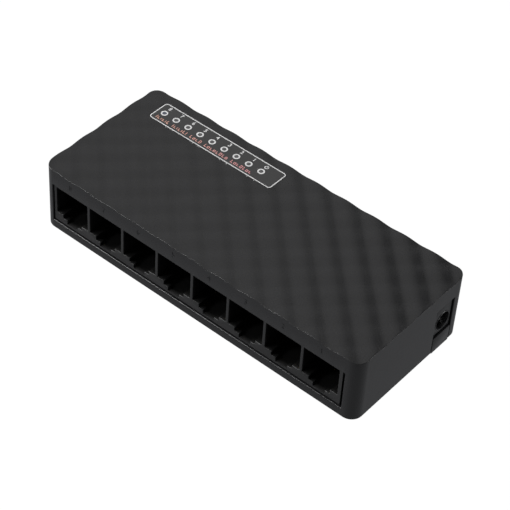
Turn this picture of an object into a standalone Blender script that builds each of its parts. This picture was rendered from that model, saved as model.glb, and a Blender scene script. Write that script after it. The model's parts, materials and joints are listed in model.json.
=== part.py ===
"""Eight-port desktop network switch, modelled piece by piece.

Frame: metres, +X along the row of ports to the power jack's end, +Y from the ports to the back,
+Z up, origin at the middle of the underside. Sizes below are in millimetres.
"""
import math

import bmesh
import bpy
from mathutils import Matrix, Vector

MM = 0.001
FIT = 0.3                        # clearance between neighbouring pieces

# Case
LENGTH, DEPTH, HEIGHT = 123.0, 51.2, 24.2
CORNER_RADIUS = 4.0
WALL = 1.6
ROOF_UNDERSIDE = 21.4
COVER_FOOT = 0.2                 # the cover's walls stop this far above the base's underside
BASE_THICKNESS = 1.5

# Relief on the roof: two sets of straight waves that cross at 45 degrees
WAVE_PITCH = 11.15               # along X, the same for both sets
WAVE_RISE = 0.3                  # valley to crest of one set
RISING_VALLEY = 2.45             # x + y in one valley of the first set
FALLING_VALLEY = -3.10           # x - y in one valley of the second set

# Row of ports
PORT_COUNT = 8
PORT_PITCH = 14.0
FIRST_PORT_X = 48.0              # port 1, at the power jack's end
PORT_WIDTH = 13.0
BLOCK_LEFT, BLOCK_RIGHT = -57.4, 55.7
BLOCK_FRONT, BLOCK_DEPTH = -25.1, 16.3
BLOCK_TOP = 17.65
NOSE_LOW, NOSE_BACK = 3.65, -22.75   # the block's front hangs down before the board's edge
CAVITY_DEPTH = 12.8
CAVITY_TOP = 17.0
LATCH_FLOOR, MOUTH_FLOOR = 4.6, 4.2
STOP_TOP = 5.65                  # small steps that the plug's latch snaps behind
LEDGE_TOP = 7.1                  # large steps that carry the plug's body
LEDGE_WIDTH, STOP_WIDTH, STOP_DEPTH = 2.55, 1.75, 1.6
COMB_SEAT_TOP, COMB_SEAT_DEPTH = 16.65, 4.3
LEAD_IN_TOP, LEAD_IN_DEPTH = 17.3, 0.7   # slope over each mouth that guides the plug in
WINDOW_LEFT, WINDOW_RIGHT = -57.7, 56.6
WINDOW_LOW, WINDOW_HIGH = 3.35, 17.95

# Spring contacts of one port
WIRE_COUNT, WIRE_PITCH = 8, 1.02
WIRE_WIDTH, WIRE_THICKNESS = 0.46, 0.3
WIRE_RUN, WIRE_DROP = 8.2, 2.9
FOLD_INSET = 2.7                 # fold axis behind the block's face
FOLD_Z, FOLD_RADIUS = 15.9, 0.45
FOLD_WIDTH = 8.6

# Circuit board
BOARD_LOW, BOARD_HIGH = 2.25, 3.85
BOARD_HALF_X = 59.3
BOARD_FRONT, BOARD_BACK = -22.4, 23.4

# Power jack
JACK_FACE_X, JACK_FOOT_X, JACK_BACK_X = 61.0, 60.35, 47.0   # its face, the front of its foot, its back
JACK_Y, JACK_AXIS_Z, JACK_WIDTH, JACK_TOP = 16.0, 10.8, 8.2, 17.2
JACK_EDGE = 0.3
BARREL_RADIUS, BARREL_DEPTH = 3.05, 9.5
RIM_RADIUS, RIM_PROUD = 3.45, 0.15
PIN_RADIUS, PIN_BASE_RADIUS, PIN_LENGTH = 1.0, 1.6, 8.2
LEAF_PIVOT_X, LEAF_PIVOT_Z = 53.0, 6.8
LEAF_WIDTH, LEAF_THICKNESS, LEAF_RUN = 2.0, 0.3, 6.2
OUTLET_FRONT, OUTLET_BACK, OUTLET_TOP = 11.6, 20.4, 17.6
TAB_TOP, TAB_THICKNESS = 6.1, 0.85

# Lights and the flat pad they shine through
LIGHT_PITCH, FIRST_LIGHT_X, LIGHT_Y = 4.99, -50.9, 17.7
LIGHT_RADIUS, LIGHT_HOLE_RADIUS, LIGHT_POCKET_RADIUS = 1.5, 0.75, 2.0
LIGHT_TOP, LIGHT_BASE = 22.95, 17.6
LEG_SIZE, LEG_SPACING = 0.5, 2.54
PAD_LEFT, PAD_RIGHT, PAD_FRONT, PAD_BACK = -53.8, -4.0, 13.2, 22.25
PAD_TOP, PAD_CORNER, PAD_SKIN = 23.9, 1.4, 0.9

# Case screws and snap hooks
SCREWS = ((-56.0, 19.4), (40.0, 19.4))
SHANK_RADIUS, HEAD_RADIUS, HEAD_HEIGHT = 1.1, 2.4, 0.95
SEAT_Z, HEAD_LOW, SHANK_TOP = 1.35, 0.1, 12.0
BOSS_RADIUS, CUP_RADIUS = 2.9, 3.8
HOOKS_X = (-38.0, 0.0, 38.0)
HOOK_WIDTH, HOOK_FRONT, HOOK_BACK, HOOK_TOP = 7.0, -23.7, -22.75, 3.3
BARB_REACH, BARB_LOW, BARB_HIGH, BARB_SLOPE = 0.7, 1.8, 2.4, 0.3
POSTS_X, POSTS_Y, POST_RADIUS = (-50.0, -30.0, 30.0, 52.0), (-16.0, 8.0), 1.8
VENT_COUNT, VENT_PITCH, VENT_WIDTH, VENT_LENGTH, VENT_Y = 9, 5.0, 1.8, 14.0, 4.0

# What stands on the board: name, material, middle in X and Y, size, bevelled edge
BOARD_BLOCKS = (
    ("switch_chip", "chip", (0.0, 11.0), (14.0, 14.0, 1.4), 0.2),
    ("regulator", "chip", (30.0, 9.0), (5.0, 4.0, 1.5), 0.15),
    ("inductor", "ferrite", (23.0, 9.5), (6.2, 6.2, 3.0), 0.6),
    ("input_diode", "chip", (42.5, 10.0), (4.4, 2.6, 2.2), 0.2),
)
TRANSFORMER_COUNT, TRANSFORMER_SIZE, TRANSFORMER_EDGE = 4, (16.0, 9.0, 4.6), 0.3
TRANSFORMER_PITCH, TRANSFORMER_MIDDLE, TRANSFORMER_Y = 28.0, -1.0, -1.6
CAPACITORS = (("capacitor_input", (35.2, 15.2)), ("capacitor_output", (23.0, 17.6)))
CAN_RADIUS, CAN_HEIGHT, GROOVE_DEPTH = 3.15, 7.4, 0.25
CRYSTAL_SPOT, CRYSTAL_RADIUS = (-15.0, 8.0), 2.2
CRYSTAL_REACH, CRYSTAL_HEIGHT = 3.2, 3.5

ROUND = 24                       # sides of a large round shape
SMALL_ROUND = 12                 # sides of a small one


# ---------------------------------------------------------------- shape helpers

def clear_scene():
    for item in list(bpy.data.objects):
        bpy.data.objects.remove(item, do_unlink=True)


def material(name, colour, roughness, metallic=0.0):
    made = bpy.data.materials.new(name)
    made.use_nodes = True
    shader = made.node_tree.nodes["Principled BSDF"]
    shader.inputs["Base Color"].default_value = (*colour, 1.0)
    shader.inputs["Roughness"].default_value = roughness
    shader.inputs["Metallic"].default_value = metallic
    return made


def extrude_outline(bm, points, along, low, high):
    """Add a prism: a flat outline at `low` on the axis `along`, carried to `high`."""
    place = {
        "X": lambda u, v: Vector((low, u, v)),
        "Y": lambda u, v: Vector((u, low, v)),
        "Z": lambda u, v: Vector((u, v, low)),
    }[along]
    travel = {"X": Vector((1, 0, 0)), "Y": Vector((0, 1, 0)), "Z": Vector((0, 0, 1))}[along]
    face = bm.faces.new([bm.verts.new(place(u, v) * MM) for u, v in points])
    grown = bmesh.ops.extrude_face_region(bm, geom=[face], use_keep_orig=True)["geom"]
    moved = [part for part in grown if isinstance(part, bmesh.types.BMVert)]
    bmesh.ops.translate(bm, verts=moved, vec=travel * (high - low) * MM)


def add_box(bm, low, high):
    centre = [(a + b) / 2 * MM for a, b in zip(low, high)]
    size = [(b - a) * MM for a, b in zip(low, high)]
    stretch = Matrix.Translation(centre) @ Matrix.Diagonal((*size, 1.0))
    bmesh.ops.create_cube(bm, size=1.0, matrix=stretch)


def arc(centre, radius, start, end, steps):
    """Points on an arc, angles in degrees."""
    angles = [math.radians(start + (end - start) * i / steps) for i in range(steps + 1)]
    return [(centre[0] + radius * math.cos(a), centre[1] + radius * math.sin(a)) for a in angles]


def circle(centre, radius, sides):
    return arc(centre, radius, 0, 360, sides)[:-1]


def rounded_rectangle(left, right, front, back, radius, steps=6):
    corners = (
        (right - radius, back - radius, 0),
        (left + radius, back - radius, 90),
        (left + radius, front + radius, 180),
        (right - radius, front + radius, 270),
    )
    points = []
    for x, y, start in corners:
        points += arc((x, y), radius, start, start + 90, steps)
    return points


def spin_profile(bm, profile, centre, along, sides):
    """Turn a (radius, height) profile, which starts and ends on the axis, into a solid."""
    ring = [bm.verts.new(Vector((r, 0, h)) * MM) for r, h in profile]
    edges = [bm.edges.new(pair) for pair in zip(ring, ring[1:])]
    bmesh.ops.spin(bm, geom=ring + edges, cent=(0, 0, 0), axis=(0, 0, 1),
                   angle=math.tau, steps=sides, use_duplicate=False)
    bmesh.ops.remove_doubles(bm, verts=bm.verts, dist=1e-7)
    if along == "X":
        bmesh.ops.rotate(bm, verts=bm.verts, cent=(0, 0, 0),
                         matrix=Matrix.Rotation(math.radians(90), 3, "Y"))
    bmesh.ops.translate(bm, verts=bm.verts, vec=Vector(centre) * MM)


def mesh_from(bm, name, smooth=False):
    bmesh.ops.recalc_face_normals(bm, faces=bm.faces)
    mesh = bpy.data.meshes.new(name)
    bm.to_mesh(mesh)
    bm.free()
    if smooth:
        mesh.shade_smooth()
        mesh.set_sharp_from_angle(angle=math.radians(35))
    return mesh


def merge_into(bm, other):
    mesh = mesh_from(other, "joined")
    bm.from_mesh(mesh)
    bpy.data.meshes.remove(mesh)


def add_object(name, mesh, look, pivot=None):
    """Put a mesh in the scene, with its origin moved to `pivot` if one is given."""
    thing = bpy.data.objects.new(name, mesh)
    bpy.context.scene.collection.objects.link(thing)
    if look and not mesh.materials:
        mesh.materials.append(look)
    if pivot:
        offset = Vector(pivot) * MM
        mesh.transform(Matrix.Translation(-offset))
        thing.location = offset
    return thing


def solid(name, look, build, smooth=False, pivot=None):
    bm = bmesh.new()
    build(bm)
    return add_object(name, mesh_from(bm, name, smooth), look, pivot)


def combine(target, operation, build):
    """Cut shapes from the target, or join them to it, and keep the result as its mesh."""
    tool = solid(target.name + "_tool", None, build)
    tool.hide_render = True
    tool.display_type = "WIRE"
    change = target.modifiers.new(operation.lower(), "BOOLEAN")
    change.operation = operation
    change.object = tool
    bake(target)
    bpy.data.objects.remove(tool, do_unlink=True)


def bevel(target, width, segments=1):
    change = target.modifiers.new("edge", "BEVEL")
    change.width = width * MM
    change.segments = segments
    change.limit_method = "ANGLE"
    bake(target)


def bake(target):
    bpy.context.view_layer.update()
    graph = bpy.context.evaluated_depsgraph_get()
    mesh = bpy.data.meshes.new_from_object(target.evaluated_get(graph))
    target.modifiers.clear()
    target.data = mesh


# ---------------------------------------------------------------- places that repeat

def port_x(number):
    return FIRST_PORT_X - PORT_PITCH * (number - 1)


def light_x(index):
    return FIRST_LIGHT_X + LIGHT_PITCH * index


def wave_height(x, y):
    """Height of the roof's relief above its lowest point, x and y in millimetres."""
    def zigzag(position, valley):
        phase = ((position - valley) / WAVE_PITCH) % 1.0
        return WAVE_RISE * (1 - abs(2 * phase - 1))
    return zigzag(x + y, RISING_VALLEY) + zigzag(x - y, FALLING_VALLEY)


# ---------------------------------------------------------------- top cover

def build_cover_block(bm):
    """The cover's outside, with its roof split along every crest and valley and then lifted."""
    outline = rounded_rectangle(-LENGTH / 2, LENGTH / 2, -DEPTH / 2, DEPTH / 2, CORNER_RADIUS, 8)
    extrude_outline(bm, outline, "Z", COVER_FOOT, HEIGHT)
    half_span = (LENGTH + DEPTH) / 2
    for slope, valley in ((1, RISING_VALLEY), (-1, FALLING_VALLEY)):
        first = math.ceil((-half_span - valley) / (WAVE_PITCH / 2))
        last = math.floor((half_span - valley) / (WAVE_PITCH / 2))
        for step in range(first, last + 1):
            offset = valley + step * WAVE_PITCH / 2
            split_roof(bm, (offset / 2, offset / 2 * slope), (1, slope))
    for vert in bm.verts:
        if vert.co.z > (HEIGHT - 1) * MM:
            lift = wave_height(vert.co.x / MM, vert.co.y / MM) - 2 * WAVE_RISE
            vert.co.z = (HEIGHT + lift) * MM


def split_roof(bm, point, direction):
    roof = [face for face in bm.faces if all(v.co.z > (HEIGHT - 1) * MM for v in face.verts)]
    edges = list({edge for face in roof for edge in face.edges})
    verts = list({vert for face in roof for vert in face.verts})
    bmesh.ops.bisect_plane(bm, geom=roof + edges + verts, dist=1e-6,
                           plane_co=Vector((*point, 0)) * MM, plane_no=Vector((*direction, 0)))


def build_light_pad(bm):
    outline = rounded_rectangle(PAD_LEFT, PAD_RIGHT, PAD_FRONT, PAD_BACK, PAD_CORNER, 4)
    extrude_outline(bm, outline, "Z", ROOF_UNDERSIDE + 0.5, PAD_TOP)


def build_cover_cavity(bm):
    inner = rounded_rectangle(-LENGTH / 2 + WALL, LENGTH / 2 - WALL, -DEPTH / 2 + WALL,
                              DEPTH / 2 - WALL, CORNER_RADIUS - WALL, 5)
    extrude_outline(bm, inner, "Z", -1.0, ROOF_UNDERSIDE)


def build_screw_bosses(bm):
    for x, y in SCREWS:
        extrude_outline(bm, circle((x, y), BOSS_RADIUS, ROUND), "Z", BOARD_HIGH + FIT,
                        ROOF_UNDERSIDE + 0.5)


def build_cover_holes(bm):
    front = -DEPTH / 2
    add_box(bm, (WINDOW_LEFT, front - 1, WINDOW_LOW), (WINDOW_RIGHT, front + WALL + 1, WINDOW_HIGH))
    for x in HOOKS_X:
        half = HOOK_WIDTH / 2 + FIT
        add_box(bm, (x - half, HOOK_FRONT - BARB_REACH - FIT, BARB_LOW - FIT),
                (x + half, HOOK_FRONT + 0.5, BARB_HIGH + FIT))
    for x, y in SCREWS:
        extrude_outline(bm, circle((x, y), SHANK_RADIUS + FIT, SMALL_ROUND), "Z",
                        BOARD_HIGH, SHANK_TOP + 1.0)
    for index in range(PORT_COUNT + 1):
        spot = (light_x(index), LIGHT_Y)
        stepped = [(0, ROOF_UNDERSIDE - 1), (LIGHT_POCKET_RADIUS, ROOF_UNDERSIDE - 1),
                   (LIGHT_POCKET_RADIUS, PAD_TOP - PAD_SKIN), (LIGHT_HOLE_RADIUS, PAD_TOP - PAD_SKIN),
                   (LIGHT_HOLE_RADIUS, PAD_TOP + 1), (0, PAD_TOP + 1)]
        drill = bmesh.new()
        spin_profile(drill, stepped, (*spot, 0), "Z", SMALL_ROUND + 4)
        merge_into(bm, drill)


def build_outlet(bm):
    add_box(bm, (LENGTH / 2 - WALL - 1, OUTLET_FRONT, -1), (LENGTH / 2 + 1, OUTLET_BACK, OUTLET_TOP))


def make_top_cover(look):
    cover = solid("top_cover", look, build_cover_block)
    combine(cover, "UNION", build_light_pad)
    combine(cover, "DIFFERENCE", build_cover_cavity)
    combine(cover, "UNION", build_screw_bosses)
    combine(cover, "DIFFERENCE", build_cover_holes)
    combine(cover, "DIFFERENCE", build_outlet)


# ---------------------------------------------------------------- base

def build_base_plate(bm):
    """Floor plate with a tongue that reaches out under the power outlet."""
    edge_x, edge_y = LENGTH / 2 - WALL - FIT, DEPTH / 2 - WALL - FIT
    outline = rounded_rectangle(-edge_x, edge_x, -edge_y, edge_y, CORNER_RADIUS - WALL - FIT, 5)
    tongue = [(edge_x, OUTLET_FRONT + FIT), (LENGTH / 2, OUTLET_FRONT + FIT),
              (LENGTH / 2, OUTLET_BACK - FIT), (edge_x, OUTLET_BACK - FIT)]
    extrude_outline(bm, tongue + outline, "Z", 0, BASE_THICKNESS)


def build_outlet_tab(bm):
    add_box(bm, (LENGTH / 2 - TAB_THICKNESS, OUTLET_FRONT + FIT, BASE_THICKNESS - 0.5),
            (LENGTH / 2, OUTLET_BACK - FIT, TAB_TOP))


def build_base_uprights(bm):
    rest = BOARD_LOW - FIT
    for x, y in SCREWS:
        extrude_outline(bm, circle((x, y), CUP_RADIUS, ROUND), "Z", 0.5, rest)
    for x in POSTS_X:
        for y in POSTS_Y:
            extrude_outline(bm, circle((x, y), POST_RADIUS, SMALL_ROUND), "Z", 0.5, rest)
    for x in HOOKS_X:
        profile = [(HOOK_BACK, 0.5), (HOOK_BACK, HOOK_TOP), (HOOK_FRONT, HOOK_TOP),
                   (HOOK_FRONT, BARB_HIGH), (HOOK_FRONT - BARB_REACH, BARB_HIGH - BARB_SLOPE),
                   (HOOK_FRONT - BARB_REACH, BARB_LOW),
                   (HOOK_FRONT, BARB_LOW), (HOOK_FRONT, 0.5)]
        half = HOOK_WIDTH / 2
        extrude_outline(bm, profile, "X", x - half, x + half)


def build_base_cuts(bm):
    for x, y in SCREWS:
        recess = [(0, -1), (HEAD_RADIUS + FIT, -1), (HEAD_RADIUS + FIT, SEAT_Z),
                  (SHANK_RADIUS + FIT, SEAT_Z), (SHANK_RADIUS + FIT, BOARD_LOW + 1), (0, BOARD_LOW + 1)]
        drill = bmesh.new()
        spin_profile(drill, recess, (x, y, 0), "Z", SMALL_ROUND + 4)
        merge_into(bm, drill)
    for index in range(VENT_COUNT):
        x = (index - (VENT_COUNT - 1) / 2) * VENT_PITCH
        radius = VENT_WIDTH / 2
        slot = rounded_rectangle(x - radius, x + radius, VENT_Y - VENT_LENGTH / 2,
                                 VENT_Y + VENT_LENGTH / 2, radius - 0.01, 3)
        extrude_outline(bm, slot, "Z", -1, BASE_THICKNESS + 1)


def make_base(look):
    base = solid("base", look, build_base_plate)
    combine(base, "UNION", build_outlet_tab)
    combine(base, "UNION", build_base_uprights)
    combine(base, "DIFFERENCE", build_base_cuts)


# ---------------------------------------------------------------- jacks

def build_jack_block(bm):
    back, low = BLOCK_FRONT + BLOCK_DEPTH, BOARD_HIGH + FIT
    side = [(BLOCK_FRONT, NOSE_LOW), (NOSE_BACK, NOSE_LOW), (NOSE_BACK, low), (back, low),
            (back, BLOCK_TOP), (BLOCK_FRONT, BLOCK_TOP)]
    extrude_outline(bm, side, "X", BLOCK_LEFT, BLOCK_RIGHT)


def build_port_mouths(bm):
    """Stepped mouths: wide above, then two steps down each side to the latch's slot."""
    half = PORT_WIDTH / 2
    for number in range(1, PORT_COUNT + 1):
        x = port_x(number)
        inner = half - LEDGE_WIDTH
        slot = inner - STOP_WIDTH
        outline = [(x - half, LEDGE_TOP), (x - inner, LEDGE_TOP), (x - inner, STOP_TOP),
                   (x - slot, STOP_TOP), (x - slot, LATCH_FLOOR), (x + slot, LATCH_FLOOR),
                   (x + slot, STOP_TOP), (x + inner, STOP_TOP), (x + inner, LEDGE_TOP),
                   (x + half, LEDGE_TOP), (x + half, COMB_SEAT_TOP), (x - half, COMB_SEAT_TOP)]
        extrude_outline(bm, outline, "Y", BLOCK_FRONT - 1, BLOCK_FRONT + CAVITY_DEPTH)


def build_mouth_slopes(bm):
    """A lead-in over each mouth, and the dip in its floor that lets the latch in."""
    upper = [(BLOCK_FRONT - 1, LEAD_IN_TOP), (BLOCK_FRONT, LEAD_IN_TOP),
             (BLOCK_FRONT + LEAD_IN_DEPTH, COMB_SEAT_TOP - 0.1), (BLOCK_FRONT - 1, COMB_SEAT_TOP - 0.1)]
    lower = [(BLOCK_FRONT - 1, MOUTH_FLOOR), (BLOCK_FRONT, MOUTH_FLOOR),
             (BLOCK_FRONT + STOP_DEPTH, LATCH_FLOOR + 0.1), (BLOCK_FRONT - 1, LATCH_FLOOR + 0.1)]
    slot = PORT_WIDTH / 2 - LEDGE_WIDTH - STOP_WIDTH
    for number in range(1, PORT_COUNT + 1):
        x = port_x(number)
        extrude_outline(bm, upper, "X", x - PORT_WIDTH / 2, x + PORT_WIDTH / 2)
        extrude_outline(bm, lower, "X", x - slot, x + slot)


def build_port_pockets(bm):
    """Room behind the small steps for the latch, and above the contacts for their travel."""
    for number in range(1, PORT_COUNT + 1):
        x = port_x(number)
        inner = PORT_WIDTH / 2 - LEDGE_WIDTH
        back = BLOCK_FRONT + CAVITY_DEPTH
        add_box(bm, (x - inner, BLOCK_FRONT + STOP_DEPTH, LATCH_FLOOR), (x + inner, back, LEDGE_TOP + 1))
        add_box(bm, (x - PORT_WIDTH / 2, BLOCK_FRONT + COMB_SEAT_DEPTH, COMB_SEAT_TOP - 1),
                (x + PORT_WIDTH / 2, back, CAVITY_TOP))


def make_jack_block(look):
    block = solid("rj45_housing", look, build_jack_block)
    combine(block, "DIFFERENCE", build_port_mouths)
    combine(block, "DIFFERENCE", build_mouth_slopes)
    combine(block, "DIFFERENCE", build_port_pockets)


def build_comb_bar(bm):
    half = FOLD_WIDTH / 2
    extrude_outline(bm, circle((0, 0), FOLD_RADIUS, SMALL_ROUND), "X", -half, half)


def build_comb_wires(bm):
    """Eight sprung wires that slope back and down from the fold and end in a short upturn."""
    thick = WIRE_THICKNESS / 2
    for index in range(WIRE_COUNT):
        x = (index - (WIRE_COUNT - 1) / 2) * WIRE_PITCH
        centre = [(0.0, 0.0), (WIRE_RUN * 0.8, -WIRE_DROP), (WIRE_RUN, -WIRE_DROP + 0.5)]
        upper = [(y, z + thick) for y, z in centre]
        lower = [(y, z - thick) for y, z in reversed(centre)]
        extrude_outline(bm, upper + lower, "X", x - WIRE_WIDTH / 2, x + WIRE_WIDTH / 2)


def make_port_contacts(look):
    """One comb for each port, turning about the fold in its wires."""
    first = solid("port_contacts_1", look, build_comb_bar)
    combine(first, "UNION", build_comb_wires)
    for number in range(1, PORT_COUNT + 1):
        comb = first if number == 1 else add_object(f"port_contacts_{number}", first.data, look)
        comb.location = Vector((port_x(number), BLOCK_FRONT + FOLD_INSET, FOLD_Z)) * MM


# ---------------------------------------------------------------- power jack

def build_jack_case(bm):
    """Square moulding whose face fills the outlet; its foot steps back behind the base's tab."""
    low, step = BOARD_HIGH + FIT, TAB_TOP + FIT
    side = [(JACK_BACK_X, low), (JACK_FOOT_X, low), (JACK_FOOT_X, step), (JACK_FACE_X, step),
            (JACK_FACE_X, JACK_TOP), (JACK_BACK_X, JACK_TOP)]
    extrude_outline(bm, side, "Y", JACK_Y - JACK_WIDTH / 2, JACK_Y + JACK_WIDTH / 2)


def build_jack_rim(bm):
    extrude_outline(bm, circle((JACK_Y, JACK_AXIS_Z), RIM_RADIUS, ROUND), "X",
                    JACK_FACE_X - 0.5, JACK_FACE_X + RIM_PROUD)


def build_jack_bore(bm):
    extrude_outline(bm, circle((JACK_Y, JACK_AXIS_Z), BARREL_RADIUS, ROUND), "X",
                    JACK_FACE_X - BARREL_DEPTH, JACK_FACE_X + 1)


def build_leaf_slot(bm):
    half = LEAF_WIDTH / 2 + FIT
    add_box(bm, (LEAF_PIVOT_X - 1.0, JACK_Y - half, LEAF_PIVOT_Z - 0.9),
            (JACK_FACE_X - 1.2, JACK_Y + half, JACK_AXIS_Z - 1.5))


def make_power_jack(plastic, metal):
    body = solid("dc_jack_body", plastic, build_jack_case)
    bevel(body, JACK_EDGE)
    combine(body, "UNION", build_jack_rim)
    combine(body, "DIFFERENCE", build_jack_bore)
    combine(body, "DIFFERENCE", build_leaf_slot)
    tip = PIN_RADIUS * 0.6
    profile = [(0, 0), (PIN_BASE_RADIUS, 0), (PIN_BASE_RADIUS, 0.8), (PIN_RADIUS, 0.8),
               (PIN_RADIUS, PIN_LENGTH - tip), (PIN_RADIUS * 0.8, PIN_LENGTH - tip * 0.4),
               (PIN_RADIUS * 0.4, PIN_LENGTH), (0, PIN_LENGTH)]
    root = (JACK_FACE_X - BARREL_DEPTH + FIT, JACK_Y, JACK_AXIS_Z)
    solid("dc_jack_pin", metal,
          lambda bm: spin_profile(bm, profile, root, "X", SMALL_ROUND + 4), smooth=True)
    solid("dc_jack_leaf", metal, build_leaf, pivot=(LEAF_PIVOT_X, JACK_Y, LEAF_PIVOT_Z))


def build_leaf(bm):
    """Sprung strip under the barrel that rises to a rounded bump and presses on the plug."""
    x, z, run = LEAF_PIVOT_X, LEAF_PIVOT_Z, LEAF_RUN
    bump = JACK_AXIS_Z - BARREL_RADIUS + 0.35
    line = [(x - 0.4, z), (x + run * 0.3, z), (x + run * 0.62, bump - 0.45),
            (x + run * 0.76, bump), (x + run * 0.86, bump - 0.1), (x + run, z + 0.35)]
    thick = LEAF_THICKNESS / 2
    outline = [(u, v + thick) for u, v in line] + [(u, v - thick) for u, v in reversed(line)]
    extrude_outline(bm, outline, "Y", JACK_Y - LEAF_WIDTH / 2, JACK_Y + LEAF_WIDTH / 2)


# ---------------------------------------------------------------- board and what it carries

def make_board(look):
    outline = rounded_rectangle(-BOARD_HALF_X, BOARD_HALF_X, BOARD_FRONT, BOARD_BACK, 1.5, 3)
    board = solid("main_board", look,
                  lambda bm: extrude_outline(bm, outline, "Z", BOARD_LOW, BOARD_HIGH))
    combine(board, "DIFFERENCE", build_board_holes)


def build_board_holes(bm):
    for x, y in SCREWS:
        extrude_outline(bm, circle((x, y), SHANK_RADIUS + 2 * FIT, SMALL_ROUND), "Z",
                        BOARD_LOW - 1, BOARD_HIGH + 1)


def light_profile():
    dome_centre = LIGHT_TOP - LIGHT_RADIUS
    dome = arc((0, dome_centre), LIGHT_RADIUS, 0, 90, 4)
    return [(0, LIGHT_BASE), (LIGHT_RADIUS + 0.35, LIGHT_BASE), (LIGHT_RADIUS + 0.35, LIGHT_BASE + 0.8),
            (LIGHT_RADIUS, LIGHT_BASE + 0.8)] + dome[:-1] + [(0, LIGHT_TOP)]


def build_light_legs(bm):
    half = LEG_SIZE / 2
    for side in (-1, 1):
        x = side * LEG_SPACING / 2
        add_box(bm, (x - half, -half, BOARD_HIGH + FIT), (x + half, half, LIGHT_BASE + 0.4))


def make_lights(look):
    """Nine identical lights on long legs: ports 8 to 1 from the left, then power."""
    first = solid("led_power", look,
                  lambda bm: spin_profile(bm, light_profile(), (0, 0, 0), "Z", SMALL_ROUND))
    combine(first, "UNION", build_light_legs)
    first.location = Vector((light_x(PORT_COUNT), LIGHT_Y, 0)) * MM
    for number in range(1, PORT_COUNT + 1):
        light = add_object(f"led_port_{number}", first.data, look)
        light.location = Vector((light_x(PORT_COUNT - number), LIGHT_Y, 0)) * MM


def board_block(name, look, centre, size, edge):
    """A moulded part that stands on the board."""
    x, y = centre
    length, width, height = size
    low = BOARD_HIGH + FIT
    block = solid(name, look, lambda bm: add_box(
        bm, (x - length / 2, y - width / 2, low), (x + length / 2, y + width / 2, low + height)))
    bevel(block, edge)


def board_can(name, look, centre):
    """An upright round capacitor with a rolled groove near its foot."""
    low = BOARD_HIGH + FIT
    waist = CAN_RADIUS - GROOVE_DEPTH
    profile = [(0, low), (CAN_RADIUS, low), (CAN_RADIUS, low + 0.8), (waist, low + 1.1),
               (waist, low + 1.4), (CAN_RADIUS, low + 1.7), (CAN_RADIUS, low + CAN_HEIGHT - 0.3),
               (CAN_RADIUS - 0.3, low + CAN_HEIGHT), (0, low + CAN_HEIGHT)]
    solid(name, look, lambda bm: spin_profile(bm, profile, (*centre, 0), "Z", ROUND), smooth=True)


def build_crystal(bm):
    x, y = CRYSTAL_SPOT
    low = BOARD_HIGH + FIT
    outline = arc((x + CRYSTAL_REACH, y), CRYSTAL_RADIUS, -90, 90, 8)
    outline += arc((x - CRYSTAL_REACH, y), CRYSTAL_RADIUS, 90, 270, 8)
    extrude_outline(bm, outline, "Z", low, low + CRYSTAL_HEIGHT)


def make_board_parts(looks):
    for name, look, centre, size, edge in BOARD_BLOCKS:
        board_block(name, looks[look], centre, size, edge)
    for index in range(TRANSFORMER_COUNT):
        x = TRANSFORMER_MIDDLE + (index - (TRANSFORMER_COUNT - 1) / 2) * TRANSFORMER_PITCH
        board_block(f"transformer_{index + 1}", looks["module"], (x, TRANSFORMER_Y),
                    TRANSFORMER_SIZE, TRANSFORMER_EDGE)
    for name, centre in CAPACITORS:
        board_can(name, looks["sleeve"], centre)
    solid("crystal", looks["metal"], build_crystal, smooth=True)


# ---------------------------------------------------------------- fasteners

def make_case_screws(look):
    profile = [(0, HEAD_LOW), (HEAD_RADIUS * 0.8, HEAD_LOW), (HEAD_RADIUS, HEAD_LOW + 0.4),
               (HEAD_RADIUS, HEAD_LOW + HEAD_HEIGHT), (SHANK_RADIUS, HEAD_LOW + HEAD_HEIGHT),
               (SHANK_RADIUS, SHANK_TOP - 1.0), (0.3, SHANK_TOP), (0, SHANK_TOP)]
    for index, (x, y) in enumerate(SCREWS):
        screw = solid(f"case_screw_{index + 1}", look,
                      lambda bm: spin_profile(bm, profile, (x, y, 0), "Z", SMALL_ROUND + 4), smooth=True)
        combine(screw, "DIFFERENCE", lambda bm: build_drive_recess(bm, x, y))


def build_drive_recess(bm, x, y):
    arm, half = 1.3, 0.3
    cross = [(x - arm, y - half), (x - half, y - half), (x - half, y - arm), (x + half, y - arm),
             (x + half, y - half), (x + arm, y - half), (x + arm, y + half), (x + half, y + half),
             (x + half, y + arm), (x - half, y + arm), (x - half, y + half), (x - arm, y + half)]
    extrude_outline(bm, cross, "Z", HEAD_LOW - 1, HEAD_LOW + 0.6)


def main():
    clear_scene()
    shell = material("case_plastic", (0.035, 0.035, 0.037), 0.55)
    black = material("jack_plastic", (0.020, 0.020, 0.021), 0.45)
    gold = material("contact_metal", (0.80, 0.60, 0.25), 0.25, 1.0)
    steel = material("steel", (0.60, 0.60, 0.60), 0.30, 1.0)
    looks = {
        "chip": material("chip_resin", (0.030, 0.030, 0.032), 0.50),
        "module": material("module_resin", (0.045, 0.045, 0.045), 0.45),
        "ferrite": material("ferrite", (0.090, 0.085, 0.080), 0.60),
        "sleeve": material("capacitor_sleeve", (0.020, 0.030, 0.090), 0.35),
        "metal": steel,
    }
    make_top_cover(shell)
    make_base(shell)
    make_jack_block(black)
    make_port_contacts(gold)
    make_power_jack(black, steel)
    make_board(material("board_laminate", (0.020, 0.160, 0.060), 0.40))
    make_lights(material("light_lens", (0.55, 0.58, 0.60), 0.20))
    make_board_parts(looks)
    make_case_screws(steel)


main()
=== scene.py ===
"""Looks of the desktop network switch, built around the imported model.

Lengths in the constants are millimetres in the model's frame: X along the ports, Y to the back, Z up.
"""
import json
import math

import bmesh
import bpy
from mathutils import Matrix, Quaternion, Vector
from mathutils.geometry import delaunay_2d_cdt


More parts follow.
